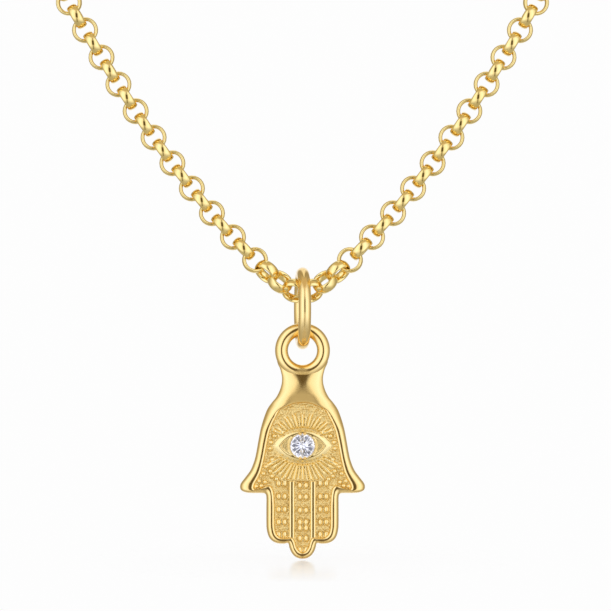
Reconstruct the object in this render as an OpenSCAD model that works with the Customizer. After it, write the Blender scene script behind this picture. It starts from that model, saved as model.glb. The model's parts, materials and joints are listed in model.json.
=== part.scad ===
// Hamsa charm on a belcher chain: a cast open hand with an eye and a round stone,
// hung by a jump ring from a closed necklace chain. Millimetres, +Z up, front towards -Y.
// The origin is on the axis of the neck, level with the chain at the nape.

/* [Necklace] */
// Width of the chain's loop round the neck
loop_w = 100; // [80:1:150]
// Distance from the neck's axis to the chain in front
front_d = 56; // [45:1:80]
// Distance from the neck's axis to the clasp behind
nape_d = 45.5; // [38:0.5:70]
// Drop of the chain in front below the nape
chain_drop = 84; // [65:1:130]

/* [Chain] */
// Outer diameter of the chain's round links, and so of the chain
link_od = 2.64; // [2.3:0.02:3.2]
// Thickness of a link's band, measured along its radius
link_t = 0.42; // [0.3:0.02:0.5]
// Width of a link's band, measured along its axis
link_w = 1.08; // [0.7:0.02:1.2]
// Play between two links that hang in each other
link_gap = 0.18; // [0.12:0.01:0.3]
// Gap between the chain's two halves, inside the jump ring
halves_gap = 0.1; // [0.04:0.01:0.2]

/* [Jump ring] */
// Outer diameter of the jump ring
ring_od = 8.2; // [7.6:0.1:10]
// Wire diameter of the jump ring
ring_wire = 1.25; // [1:0.05:1.4]
// Turn of the jump ring about the vertical
ring_turn = 4; // [0:1:8]
// Clearance between the jump ring and the chain inside it
ring_gap = 0.09; // [0.06:0.01:0.3]

/* [Hanging eye] */
// Outer diameter of the charm's own eye
eye_od = 5.5; // [5.2:0.1:6.5]
// Wire diameter of the charm's own eye
eye_wire = 1.3; // [1:0.05:1.35]
// Clearance between the eye and the jump ring that it hangs on
eye_gap = 0.1; // [0.06:0.01:0.3]

/* [Hand] */
// Width across the two thumbs
hand_w = 12.5; // [11:0.1:14]
// Width of the neck under the eye
neck_w = 4.1; // [3.8:0.1:4.6]
// Height of the neck, from the eye's wire to the top of the palm
neck_h = 3.1; // [2.6:0.1:4]
// Height of the palm, from its domed top to the underside of the thumbs
palm_h = 9.1; // [8.4:0.1:11]
// Height of the fingers' roots above the underside of the thumbs
finger_root = 1.3; // [1.1:0.05:1.5]
// Width of the three fingers together
fingers_w = 7.25; // [6.6:0.05:8]
// Width of the middle finger between the two divider ridges
middle_w = 2.15; // [1.9:0.05:2.4]
// Length of the two outer fingers below the thumbs
outer_finger_l = 5.05; // [4.4:0.05:6]
// Length of the middle finger below the thumbs
middle_finger_l = 6.55; // [6.2:0.05:7.5]
// Thickness of the casting at its rim
hand_t = 1.5; // [1.35:0.05:2]
// Depth of the sunken field below the rim
field_depth = 0.45; // [0.3:0.05:0.55]

/* [Relief] */
// Height of the rays above the field
ray_h = 0.14; // [0.08:0.01:0.25]
// Width of one ray at its outer end
ray_w = 0.2; // [0.12:0.01:0.26]
// Radius that the rays reach from the middle of the eye
ray_r = 3.55; // [3.3:0.05:3.8]
// Number of rays above the eye
rays_above = 15; // [9:1:17]
// Number of rays below the eye
rays_below = 19; // [11:1:21]
// Angle that the rays spread over, above the eye and below it
ray_spread = 124; // [100:2:130]
// Diameter of a bead on the fingers
bead_d = 0.52; // [0.4:0.02:0.56]
// Spacing of the two beads in a pair
bead_pair = 0.55; // [0.5:0.01:0.65]
// Width of a divider ridge between two fingers
divider_w = 0.44; // [0.3:0.02:0.5]
// Height of a divider ridge above the field
divider_h = 0.3; // [0.2:0.02:0.4]

/* [Eye relief and stone] */
// Depth of the eye's middle below the top of the palm
iris_drop = 4.35; // [4:0.05:4.8]
// Width of the almond over its raised lids
almond_w = 5.9; // [5.4:0.1:6.4]
// Height of the almond over its raised lids
almond_h = 3.24; // [3:0.02:3.4]
// Width of the raised lid at the tip of the almond
lid_tip = 0.54; // [0.4:0.02:0.7]
// Width of the raised lid over the stone
lid_w = 0.34; // [0.25:0.01:0.4]
// Height of the lids above the field
lid_h = 0.34; // [0.2:0.02:0.44]
// Diameter of the stone
stone_d = 2.45; // [2:0.05:2.5]
// Height of the stone's crown above its girdle
crown_h = 0.34; // [0.2:0.02:0.4]
// Thickness of the stone's girdle
girdle_t = 0.05; // [0.03:0.01:0.08]
// Depth of the stone's pavilion below its girdle
pavilion_h = 0.92; // [0.7:0.02:1]
// Height of the girdle above the field
stone_rise = 0.22; // [0.15:0.01:0.3]
// Clearance between the stone and its seat
seat_gap = 0.05; // [0.03:0.01:0.08]
// Diameter of a prong
prong_d = 0.34; // [0.24:0.02:0.4]
// Angle of each prong from the line through the stone's top and bottom
prong_turn = 10; // [6:1:16]

/* [Clasp] */
// Wire diameter of the clasp's oval loop
clasp_wire = 1.1; // [0.9:0.05:1.2]
// Width of the clasp's oval loop
clasp_w = 4.5; // [4.2:0.1:5.2]
// Straight length of the clasp's oval loop
clasp_straight = 3.2; // [2:0.1:5]
// Wire diameter of the small eye at the clasp's tail
tail_wire = 0.7; // [0.5:0.05:0.75]
// Inner diameter of the small eye at the clasp's tail
tail_hole = 1.6; // [1.5:0.05:2.2]
// Wire diameter of the two end rings
end_wire = 0.55; // [0.45:0.05:0.6]
// Inner diameter of the two end rings
end_hole = 2.7; // [2.6:0.05:3.2]
// Play between each pair of linked pieces at the clasp
clasp_gap = 0.15; // [0.12:0.01:0.25]

/* [Hidden] */

gold = [0.93, 0.76, 0.38];
gold_deep = [0.86, 0.68, 0.32];
gold_pale = [0.95, 0.8, 0.46];
stone_white = [0.93, 0.95, 0.98];

// Route of the chain's right half, from the middle of the jump ring to the nape: the front is
// flat and hangs in a V, then the chain goes round the neck. The columns are shares of half the
// loop's width, of the distance in front of the neck's axis or behind it, and of the drop.
route_rows = [
  [0, -1, -1], [0.046, -1, -0.987], [0.094, -1, -0.962], [0.182, -1, -0.905],
  [0.296, -1, -0.817], [0.402, -1, -0.72], [0.5, -0.991, -0.621], [0.64, -0.911, -0.476],
  [0.82, -0.696, -0.298], [0.96, -0.357, -0.131], [1, 0.022, -0.036], [0.88, 0.484, 0],
  [0.62, 0.813, 0], [0.34, 0.963, 0]
];
route_steps = 12;

// Links, and the waist of the chain where two of them meet inside the jump ring
link_r = link_od / 2;
link_in = link_r - link_t;
link_mid = link_r - link_t / 2;
link_pitch = 2 * link_in - link_gap;
link_chord = sqrt(link_r * link_r - link_pitch * link_pitch / 4);
waist_r = sqrt(link_chord * link_chord + link_w * link_w / 4);
waist_l = 1.5 * link_r;
tube_sides = 8;
tube_step = 2.1 * link_od;

// Clasp and end rings, laid out along X from the middle of the group
end_in = end_hole / 2;
tail_mid = tail_hole / 2 + tail_wire / 2;
loop_mid = clasp_w / 2 - clasp_wire / 2;
link_to_ring = link_in + end_in - clasp_gap;
ring_to_tail = end_in + tail_hole / 2 - clasp_gap;
tail_to_loop = tail_mid + loop_mid;
loop_to_ring = clasp_straight + loop_mid - clasp_wire / 2 + end_in - clasp_gap;
group_l = 2 * link_to_ring + ring_to_tail + tail_to_loop + loop_to_ring;
group_half = group_l / 2;

// The route in millimetres, which ends level behind the neck
nape = [0, nape_d, 0];
route = concat(
  [for (r = route_rows) [r[0] * loop_w / 2, r[1] * (r[1] < 0 ? front_d : nape_d), r[2] * chain_drop]],
  [nape + [group_half + link_r / 2, 0, 0], nape]
);

// Hanging heights, from the lowest point of the chain downwards
front_y = -front_d;
low_z = -chain_drop;
hang_r = waist_r + ring_gap;
ring_in = ring_od / 2 - ring_wire;
ring_mid = ring_od / 2 - ring_wire / 2;
ring_z = low_z + hang_r - ring_in;
ring_foot_z = ring_z - ring_mid;
eye_mid = eye_od / 2 - eye_wire / 2;
eye_in = eye_od / 2 - eye_wire;
eye_z = ring_foot_z - (eye_in - ring_wire / 2 - eye_gap);

// Levels in the casting: the outline is drawn below the middle of the eye, and the
// thickness runs from the back, 0, to the rim's crest, hand_t
neck_y = eye_mid;
palm_y = neck_y + neck_h;
thumb_y = palm_y + palm_h;
hand_l = thumb_y + middle_finger_l;
iris_y = palm_y + iris_drop;
fingers_y = thumb_y - finger_root;
field_z = hand_t - field_depth;
girdle_z = field_z + stone_rise;
relief_root = 0.1;
sliver = 0.001;
divider_x = middle_w / 2;
ray_start = 0.5;

// Outline of the right half from the neck to the tip of the middle finger. The columns are the
// edge's distance from the middle and its drop, then the same two of the rim's crest. Each is a
// share: of half the neck and the neck's height, of half the hand and the palm's height, of half
// the fingers and the outer finger's length, and of half the middle finger and its length.
neck_rows = [
  [0.93, 0.00, 0.36, 0.04], [0.98, 0.13, 0.38, 0.16], [1.00, 0.26, 0.40, 0.28],
  [1.02, 0.42, 0.42, 0.44], [1.12, 0.63, 0.48, 0.66], [1.28, 0.83, 0.66, 0.87]
];
palm_rows = [
  [0.488, 0.00, 0.312, 0.022], [0.560, 0.071, 0.424, 0.099], [0.616, 0.165, 0.496, 0.192],
  [0.669, 0.286, 0.560, 0.297], [0.707, 0.418, 0.605, 0.424], [0.744, 0.560, 0.643, 0.566],
  [0.776, 0.648, 0.672, 0.659], [0.832, 0.742, 0.712, 0.758], [0.912, 0.819, 0.760, 0.830],
  [0.984, 0.885, 0.808, 0.890], [1.000, 0.929, 0.824, 0.929], [0.979, 0.967, 0.813, 0.956],
  [0.904, 0.991, 0.768, 0.965], [0.800, 0.998, 0.688, 0.954], [0.656, 0.998, 0.600, 0.940]
];
finger_rows = [
  [1.028, 0.012, 0.926, -0.100], [1.000, 0.080, 0.862, 0.000], [1.000, 0.257, 0.848, 0.238],
  [1.000, 0.573, 0.848, 0.573], [0.989, 0.711, 0.837, 0.702], [0.939, 0.850, 0.801, 0.810],
  [0.843, 0.939, 0.732, 0.880], [0.704, 0.988, 0.635, 0.919], [0.530, 1.000, 0.483, 0.930],
  [0.401, 0.990, 0.331, 0.920]
];
tip_rows = [
  [1.237, 0.824, 0.884, 0.771], [1.070, 0.893, 0.763, 0.840], [0.791, 0.954, 0.540, 0.901],
  [0.419, 0.989, 0.279, 0.931], [0.000, 1.000, 0.000, 0.942]
];

// Section of the casting from the back to the crest: the share of the way from the edge to the
// crest, and the share of the thickness. The last level is above the crest, where it is cut flat.
section = [
  [0.45, 0.00], [0.12, 0.08], [0.00, 0.24], [0.00, 0.42], [0.14, 0.66], [0.38, 0.84],
  [0.62, 0.95], [0.94, 1.05]
];

// Domed top of the sunken field: its distance from the middle as a share of half the hand, and
// its drop as a share of the palm's height
dome_rows = [[0.000, 0.000], [0.224, 0.031], [0.376, 0.086], [0.445, 0.141]];

// Crest of the rim beside a finger and at its tip, from the finger's table
finger_crest_x = finger_rows[2][2] * fingers_w / 2;
finger_crest_y = finger_rows[8][3] * outer_finger_l;

// Cut of the stone, as shares of its radius: table, star tips, and lower facets' ends
cut_table = 0.56;
cut_star = 0.78;
cut_lower = 0.24;

// Rows of bead pairs, as shares of each finger's length below the thumbs
outer_bead_rows = [-0.20, 0.058, 0.313, 0.564, 0.808];
middle_bead_rows = [-0.125, 0.051, 0.255, 0.435, 0.525, 0.682, 0.857];

// Smooth line through points, open at both ends
function bend(a, b, c, d, t) =
  0.5 * (2 * b + (c - a) * t + (2 * a - 5 * b + 4 * c - d) * t * t
  + (3 * b - a - 3 * c + d) * t * t * t);
function smooth(pts, steps, before, after) = [
  for (i = [0 : len(pts) - 2])
    let (a = i == 0 ? before : pts[i - 1], d = i == len(pts) - 2 ? after : pts[i + 2])
      for (k = [0 : steps - 1]) bend(a, pts[i], pts[i + 1], d, k / steps),
  pts[len(pts) - 1]
];
function mirrored(p) = [for (k = [0 : len(p) - 1]) k == 0 ? -p[0] : p[k]];
function unit(v) = v / norm(v);

// The route sampled finely, and the distance along it to each sample
path = smooth(route, route_steps, mirrored(route[1]), mirrored(route[len(route) - 2]));
along = [
  for (i = 0, s = 0; i < len(path);
    s = s + (i < len(path) - 1 ? norm(path[i + 1] - path[i]) : 0), i = i + 1) s
];
path_l = along[len(along) - 1];
function at(s) =
  s < 0 ? mirrored(at(-s)) :
  let (i = min(len(path) - 2, max([for (k = [0 : len(along) - 1]) along[k] <= s ? k : 0])))
    path[i] + (path[i + 1] - path[i]) * (s - along[i]) / (along[i + 1] - along[i]);
function heading(s) = unit(at(s + link_t) - at(s - link_t));

// Where the chain's tube has its rings: from the waist to the middle of the last link, which
// holds the end ring
last_link = path_l - group_half;
tube_stop = last_link + link_in - 2 * clasp_gap - end_wire;
tube_bays = ceil((tube_stop - waist_l) / tube_step);
stations = concat(
  [halves_gap / 2],
  [for (k = [0 : tube_bays]) waist_l + (tube_stop - waist_l) * k / tube_bays]
);
function girth(s) = s < waist_l ? waist_r + (link_r - waist_r) * s / waist_l : link_r;
function rim(s) =
  let (t = heading(s), out = unit([t[1], -t[0], 0]), side = cross(out, t))
    [for (k = [0 : tube_sides - 1])
      let (a = k * 360 / tube_sides) at(s) + girth(s) * (out * cos(a) + side * sin(a))];

// The outline's points: the edge and the crest together
function placed(rows, x, y0, y) = [
  for (r = rows) [r[0] * x, -(y0 + r[1] * y), r[2] * x, -(y0 + r[3] * y)]
];
right_rows = concat(
  placed(neck_rows, neck_w / 2, neck_y, neck_h),
  placed(palm_rows, hand_w / 2, palm_y, palm_h),
  placed(finger_rows, fingers_w / 2, thumb_y, outer_finger_l),
  placed(tip_rows, middle_w / 2, thumb_y, middle_finger_l)
);
function outline_mirrored(r) = [-r[0], r[1], -r[2], r[3]];
right_side = smooth(right_rows, 3, right_rows[0], outline_mirrored(right_rows[len(right_rows) - 2]));
outline = concat(
  right_side,
  [for (i = [len(right_side) - 2 : -1 : 0]) outline_mirrored(right_side[i])]
);
dome = [for (r = dome_rows) [r[0] * hand_w / 2, -(palm_y + r[1] * palm_h)]];
dome_end = dome[len(dome) - 1];
crest_side = [for (r = right_side) if (r[3] < dome_end[1]) [r[2], r[3]]];
field_side = concat(smooth(dome, 4, mirrored(dome[1]), crest_side[1]), crest_side);
field_outline = concat(
  field_side,
  [for (i = [len(field_side) - 2 : -1 : 1]) mirrored(field_side[i])]
);
function level(share, z) = [
  for (r = outline)
    [r[0] + (r[2] - r[0]) * share, r[1] + (r[3] - r[1]) * share, z]
];

// Skin of a closed body whose points come in equal rings, one ring after another
module skin(rings) {
  n = len(rings[0]);
  last = len(rings) - 1;
  near = [for (i = [n - 1 : -1 : 0]) i];
  far = [for (i = [0 : n - 1]) last * n + i];
  walls = [
    for (k = [0 : last - 1]) for (i = [0 : n - 1])
      let (j = (i + 1) % n, a = k * n)
        each [[a + i, a + n + j, a + n + i], [a + i, a + j, a + n + j]]
  ];
  polyhedron(points = [for (r = rings) each r], faces = concat([near, far], walls), convexity = 6);
}

module link() {
  rotate_extrude($fn = 48) translate([link_mid, 0]) {
    square([link_t, link_w - link_t], center = true);
    for (side = [-1, 1]) translate([0, side * (link_w - link_t) / 2]) circle(d = link_t, $fn = 24);
  }
}

// The right half of the chain: a plain tube as thick as the links, and the last link itself
module chain_half() {
  skin([for (s = stations) rim(s)]);
  translate(nape + [group_half, 0, 0]) rotate([90, 0, 0]) link();
}

module chain_right() {
  color(gold) chain_half();
}

module chain_left() {
  color(gold_pale) mirror([1, 0, 0]) chain_half();
}

// Round ring about Z
module ring(mid_r, wire, facets) {
  rotate_extrude($fn = facets) translate([mid_r, 0]) circle(d = wire, $fn = 48);
}

module jump_ring() {
  color(gold_deep)
    translate([0, front_y, ring_z]) rotate([0, 0, ring_turn]) rotate([0, 90, 0])
      ring(ring_mid, ring_wire, 96);
}

// Body of the casting: levels of the outline from the flat back to the rim's crest
module hand_body() {
  skin([for (s = section) level(s[0], s[1] * hand_t)]);
}

// What is cut from the body: all above the crest, and the sunken field inside it
module above_crest() {
  translate([-hand_w, -2 * hand_l, hand_t]) cube([2 * hand_w, 2 * hand_l, hand_t]);
}

module field() {
  translate([0, 0, field_z]) linear_extrude(hand_t) polygon(field_outline);
}

// Almond between two arcs
module almond(w, h) {
  r = (w * w + h * h) / (4 * h);
  intersection() {
    translate([0, h / 2 - r]) circle(r = r, $fn = 128);
    translate([0, r - h / 2]) circle(r = r, $fn = 128);
  }
}

module lids() {
  difference() {
    almond(almond_w, almond_h);
    almond(almond_w - 2 * lid_tip, almond_h - 2 * lid_w);
  }
}

// Rays that fan out above and below the eye
module rays() {
  difference() {
    union() {
      for (i = [0 : rays_above - 1]) ray(90 + ray_spread * (i / (rays_above - 1) - 0.5), ray_r);
      for (i = [0 : rays_below - 1])
        let (a = 270 + ray_spread * (i / (rays_below - 1) - 0.5))
          ray(a, min(ray_r, (fingers_y - iris_y - ray_w) / abs(sin(a))));
    }
    almond(almond_w - 2 * ray_w, almond_h - 2 * ray_w);
  }
}

module ray(angle, reach) {
  rotate(angle)
    polygon([
      [ray_start, -ray_w / 4], [reach, -ray_w / 2], [reach, ray_w / 2], [ray_start, ray_w / 4]
    ]);
}

module bead_pair_at(x, y) {
  for (side = [-1, 1])
    translate([x + side * bead_pair / 2, y, field_z]) sphere(d = bead_d, $fn = 24);
}

// Ridges between the fingers, and the low sill at their roots
module finger_ridges() {
  ridge_l = finger_root + finger_crest_y;
  for (side = [-1, 1])
    translate([side * divider_x, -fingers_y, field_z + divider_h - divider_w / 2])
      rotate([90, 0, 0]) cylinder(d = divider_w, h = ridge_l, $fn = 32);
  translate([-finger_crest_x, -fingers_y - ray_w / 2, field_z - relief_root])
    cube([2 * finger_crest_x, ray_w, relief_root + ray_h]);
}

module finger_beads() {
  outer_x = (divider_x + finger_crest_x) / 2;
  for (s = outer_bead_rows) for (side = [-1, 1])
    bead_pair_at(side * outer_x, -(thumb_y + s * outer_finger_l));
  for (s = middle_bead_rows) bead_pair_at(0, -(thumb_y + s * middle_finger_l));
}

// Cone that the stone's pavilion sinks into, with its clearance all round
module seat() {
  drop = pavilion_h * (1 + 2 * seat_gap / stone_d);
  translate([0, 0, girdle_z - drop]) cylinder(r1 = 0, r2 = stone_d / 2 + seat_gap, h = drop, $fn = 64);
  translate([0, 0, girdle_z - sliver]) cylinder(r = stone_d / 2 + seat_gap, h = hand_t, $fn = 64);
}

// Two prongs above the stone and two below it
module prongs() {
  reach = stone_d / 2 + seat_gap + prong_d / 2;
  for (side = [-1, 1]) for (end = [-1, 1])
    rotate(side * prong_turn) translate([0, end * reach, field_z - relief_root])
      cylinder(d = prong_d, h = relief_root + lid_h + prong_d / 4, $fn = 24);
}

module hand() {
  difference() {
    union() {
      difference() {
        hand_body();
        above_crest();
        field();
      }
      translate([0, -iris_y, field_z - relief_root]) {
        linear_extrude(relief_root + lid_h) lids();
        linear_extrude(relief_root + ray_h) rays();
      }
      finger_ridges();
      finger_beads();
      translate([0, -iris_y, 0]) prongs();
    }
    translate([0, -iris_y, 0]) seat();
  }
  translate([0, 0, hand_t / 2]) ring(eye_mid, eye_wire, 96);
}

// Stands the casting up, with its thickness centred on the plane of the chain
module hung() {
  translate([0, front_y + hand_t / 2, eye_z]) rotate([90, 0, 0]) children();
}

module hamsa_casting() {
  color(gold) hung() hand();
}

// One eightfold ring of the stone's corners
function corners(share, z, first, pitch) =
  [for (a = [first : pitch : first + 359]) [share * stone_d / 2 * cos(a), share * stone_d / 2 * sin(a), z]];

// Round brilliant: table, star tips, girdle, lower facets and culet
module brilliant() {
  half = 22.5;
  crown_slope = crown_h / (1 - cut_table);
  points = concat(
    corners(cut_table, girdle_t + crown_h, 0, 2 * half),
    corners(cut_star, girdle_t + crown_slope * (1 - cut_star * cos(half)), half, 2 * half),
    corners(1, girdle_t, 0, half),
    corners(1, 0, 0, half),
    corners(cut_lower, -pavilion_h * (1 - cut_lower * cos(half)), half, 2 * half),
    [[0, 0, -pavilion_h]]
  );
  hull() polyhedron(points = points, faces = [for (i = [0 : len(points) - 3]) [i, i + 1, i + 2]]);
}

module stone() {
  color(stone_white) hung() translate([0, -iris_y, girdle_z]) brilliant();
}

// End rings and clasp lie along X behind the neck
right_ring_x = group_half - link_to_ring;
tail_x = right_ring_x - ring_to_tail;
loop_x = tail_x - tail_to_loop;
left_ring_x = loop_x - loop_to_ring;

module end_ring() {
  ring(end_in + end_wire / 2, end_wire, 64);
}

module end_ring_right() {
  color(gold_pale) translate(nape + [right_ring_x, 0, 0]) end_ring();
}

module end_ring_left() {
  color(gold_pale) translate(nape + [left_ring_x, 0, 0]) end_ring();
}

// Oval loop with a small eye at its tail
module clasp() {
  color(gold_deep)
    translate(nape + [loop_x, 0, 0]) rotate([90, 0, 0]) {
      rotate([0, 0, -90])
        rotate_extrude(angle = 180, $fn = 64) translate([loop_mid, 0]) circle(d = clasp_wire, $fn = 48);
      translate([-clasp_straight, 0, 0]) rotate([0, 0, 90])
        rotate_extrude(angle = 180, $fn = 64) translate([loop_mid, 0]) circle(d = clasp_wire, $fn = 48);
      for (side = [-1, 1])
        translate([0, side * loop_mid, 0]) rotate([0, -90, 0])
          cylinder(d = clasp_wire, h = clasp_straight, $fn = 48);
      translate([tail_to_loop, 0, 0]) ring(tail_mid, tail_wire, 64);
    }
}

hamsa_casting();
stone();
jump_ring();
chain_right();
chain_left();
end_ring_right();
end_ring_left();
clasp();
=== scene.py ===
# %% [markdown]
# # A hamsa charm on a belcher chain
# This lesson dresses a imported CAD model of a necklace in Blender. The charm is a cast open hand,
# plated in yellow gold, with an eye in its palm. It hangs by a round ring from a chain of round
# links. The CAD gives every size and place, and the script adds what the eye wants to see: the
# links themselves, the soft roundness of cast metal, the grain of its field and a cut stone.

import json
import math

import bmesh
import bpy
import numpy as np
from mathutils import Matrix, Vector
from mathutils.geometry import delaunay_2d_cdt

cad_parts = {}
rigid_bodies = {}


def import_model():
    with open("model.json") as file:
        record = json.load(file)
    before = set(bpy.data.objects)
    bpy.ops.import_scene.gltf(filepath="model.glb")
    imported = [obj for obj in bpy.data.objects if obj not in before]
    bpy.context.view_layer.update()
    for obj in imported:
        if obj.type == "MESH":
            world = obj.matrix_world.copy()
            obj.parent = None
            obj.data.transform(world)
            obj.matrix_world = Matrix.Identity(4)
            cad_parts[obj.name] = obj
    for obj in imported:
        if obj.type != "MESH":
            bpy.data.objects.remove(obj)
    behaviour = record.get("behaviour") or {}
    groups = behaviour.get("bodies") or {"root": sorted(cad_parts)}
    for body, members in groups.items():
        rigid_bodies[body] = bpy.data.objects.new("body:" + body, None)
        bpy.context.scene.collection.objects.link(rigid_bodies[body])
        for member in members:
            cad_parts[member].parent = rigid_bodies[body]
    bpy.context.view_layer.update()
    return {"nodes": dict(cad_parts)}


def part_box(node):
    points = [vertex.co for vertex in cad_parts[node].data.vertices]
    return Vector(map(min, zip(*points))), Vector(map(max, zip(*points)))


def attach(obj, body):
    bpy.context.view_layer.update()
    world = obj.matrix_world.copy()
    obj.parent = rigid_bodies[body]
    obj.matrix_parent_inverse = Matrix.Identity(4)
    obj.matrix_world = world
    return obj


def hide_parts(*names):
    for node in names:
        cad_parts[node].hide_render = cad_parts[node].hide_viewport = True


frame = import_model()
MM = 0.001
print("nodes:", ", ".join(sorted(frame["nodes"])))

# %% [markdown]
# ## Where things are
# The frame is the CAD's own, in metres, with +Z up and the front towards -Y. Numbers in this
# script are millimetres until a mesh is made. A few places come from the boxes of the CAD nodes:
# the plane in which the charm hangs, its width, thickness and lowest point, and its eye's middle.

# %% Places from the CAD
def middle(node):
    low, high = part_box(node)
    return (low + high) / 2


hand_low, hand_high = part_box("hamsa_casting")
FRONT_Y = middle("jump_ring").y / MM
HAND_T = (hand_high.y - hand_low.y) / MM
HAND_W = (hand_high.x - hand_low.x) / MM
HAND_BOTTOM = hand_low.z / MM
EYE_OD, EYE_WIRE = 5.5, 1.3
EYE_MID = (EYE_OD - EYE_WIRE) / 2
EYE_Z = hand_high.z / MM - EYE_OD / 2
print(f"charm {HAND_W:.2f} mm wide, {HAND_T:.2f} mm thick, its eye at {EYE_Z:.2f} mm")

# %% [markdown]
# ## Meshes and materials, the common part
# A mesh is made from arrays of corners and faces. For materials, one small class wraps a node
# socket so that shader maths reads like ordinary sums, and one method makes every node.

# %% Meshes
def in_scene(name, data):
    thing = bpy.data.objects.new(name, data)
    bpy.context.scene.collection.objects.link(thing)
    return thing


def new_piece(name, corners, faces, smooth=True):
    mesh = bpy.data.meshes.new(name)
    mesh.from_pydata(np.asarray(corners, float).tolist(), [], [tuple(map(int, f)) for f in faces])
    mesh.validate()
    mesh.update()
    mesh.polygons.foreach_set("use_smooth", [smooth] * len(mesh.polygons))
    return in_scene(name, mesh)


def outwards(piece):
    """Merges doubles and turns every face outwards."""
    shape = bmesh.new()
    shape.from_mesh(piece.data)
    bmesh.ops.remove_doubles(shape, verts=shape.verts, dist=1e-7)
    bmesh.ops.recalc_face_normals(shape, faces=shape.faces)
    shape.to_mesh(piece.data)
    shape.free()
    piece.data.update()
    return piece


def triangles(piece):
    return sum(len(p.vertices) - 2 for p in piece.data.polygons)


def strip(one, other):
    """Faces between two closed rows of corner numbers."""
    n = len(one)
    return [(one[i], one[(i + 1) % n], other[(i + 1) % n], other[i]) for i in range(n)]


def loft(rings, n, first=0, closed=False):
    """Faces between rings of n corners; if it is closed, the last ring joins the first."""
    rows = [range(first + a * n, first + (a + 1) * n) for a in range(rings)]
    return [f for pair in zip(rows, rows[1:] + rows[:1] * closed) for f in strip(*pair)]


# %% Nodes
class Wire:
    """A value that runs through a node tree, with ordinary arithmetic."""

    def __init__(self, tree, socket):
        self.tree, self.socket = tree, socket

    def math(self, operation, *others, flip=False):
        terms = [self, *others]
        if flip:
            terms.reverse()
        node = make_node(self.tree, "ShaderNodeMath", {"operation": operation})
        for place, term in enumerate(terms):
            plug(self.tree, term, node.inputs[place])
        return Wire(self.tree, node.outputs[0])

    def __add__(self, other):
        return self.math("ADD", other)

    def __mul__(self, other):
        return self.math("MULTIPLY", other)

    def __sub__(self, other):
        return self.math("SUBTRACT", other)

    def __rsub__(self, other):
        return self.math("SUBTRACT", other, flip=True)

    __radd__, __rmul__ = __add__, __mul__


def plug(tree, value, socket):
    if isinstance(value, Wire):
        tree.links.new(value.socket, socket)
    else:
        socket.default_value = value


def plug_all(tree, node, **values):
    """Values or wires for a node's sockets, by name."""
    for name, value in values.items():
        plug(tree, value, node.inputs[name.replace("_", " ")])


def make_node(tree, kind, settings=None, **values):
    """A node with its settings, then the values or wires of its sockets, by name."""
    node = tree.nodes.new(kind)
    for name, value in (settings or {}).items():
        if name == "stops":
            elements = node.color_ramp.elements
            elements[0].position, elements[-1].position = value[0][0], value[-1][0]
            for place, _ in value[1:-1]:
                elements.new(place)
            for element, (_, colour) in zip(elements, value):
                element.color = colour
        else:
            setattr(node, name, value)
    plug_all(tree, node, **values)
    return node


def value_of(tree, output, kind, settings=None, **values):
    """One output of a new node."""
    return Wire(tree, make_node(tree, kind, settings, **values).outputs[output])


# %% Parts of materials
def new_material(name):
    material = bpy.data.materials.new(name)
    material.use_nodes = True
    tree = material.node_tree
    tree.nodes.clear()
    shader = make_node(tree, "ShaderNodeBsdfPrincipled")
    output = make_node(tree, "ShaderNodeOutputMaterial")
    tree.links.new(shader.outputs[0], output.inputs["Surface"])
    return material, tree, shader, value_of(tree, "Object", "ShaderNodeTexCoord")


def noise(tree, place, scale, detail=3.0, roughness=0.5):
    return value_of(tree, "Fac", "ShaderNodeTexNoise", Vector=place, Scale=scale, Detail=detail,
                    Roughness=roughness)


def bump(tree, height, distance):
    return value_of(tree, "Normal", "ShaderNodeBump", Height=height, Distance=distance,
                    Strength=1.0)


def attribute(tree, name):
    return value_of(tree, "Fac", "ShaderNodeAttribute", {"attribute_name": name})


def split(tree, place):
    """The three coordinates of a place or direction."""
    node = make_node(tree, "ShaderNodeSeparateXYZ", None, Vector=place)
    return [Wire(tree, output) for output in node.outputs]


def two_colours(tree, factor, first, second):
    node = make_node(tree, "ShaderNodeMix", {"data_type": "RGBA"}, Factor=factor)
    for name, colour in (("A", first), ("B", second)):
        plug(tree, colour, next(s for s in node.inputs if s.name == name and s.type == "RGBA"))
    return Wire(tree, next(s for s in node.outputs if s.type == "RGBA"))


def two_shaders(tree, factor, first, second):
    node = make_node(tree, "ShaderNodeMixShader", None, Fac=factor)
    for place, shader in enumerate((first, second), 1):
        tree.links.new(shader.outputs[0], node.inputs[place])
    return node


# %% [markdown]
# ## Camera
# The photograph is a product shot from straight ahead with a long lens, so that the two arms of
# the chain don't spread with distance. A perspective camera far away with a long focal length
# does the same. The frame is square, and 61.1 mm wide at the charm.

# %% Camera
VIEW_W, CAMERA_D, SENSOR_W = 61.1, 620.0, 36.0
AIM_X, AIM_Z = 0.3, -85.3
camera_data = bpy.data.cameras.new("camera")
camera_data.sensor_width = SENSOR_W
camera_data.lens = SENSOR_W * CAMERA_D / VIEW_W
camera_data.dof.use_dof = False
camera_data.clip_start, camera_data.clip_end = 0.01, 20
camera = in_scene("camera", camera_data)
camera.location = Vector((AIM_X, FRONT_Y - CAMERA_D, AIM_Z)) * MM
camera.rotation_euler = (math.pi / 2, 0, 0)
bpy.context.scene.camera = camera
print(f"camera {CAMERA_D:.0f} mm away, lens {camera_data.lens:.0f} mm")

# %% [markdown]
# ## Gold
# Plated gold is one metal with four finishes here. The rings are polished, with the faint
# waviness and fine hairlines of tumbling. So is the casting's rim, apart from its shoulder, which
# is satin: rougher and deeper in colour. The links are the brightest. The sunken field has the
# fine matte grain of the casting, worn smooth on its high places. Each colour drifts a little.

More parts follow.
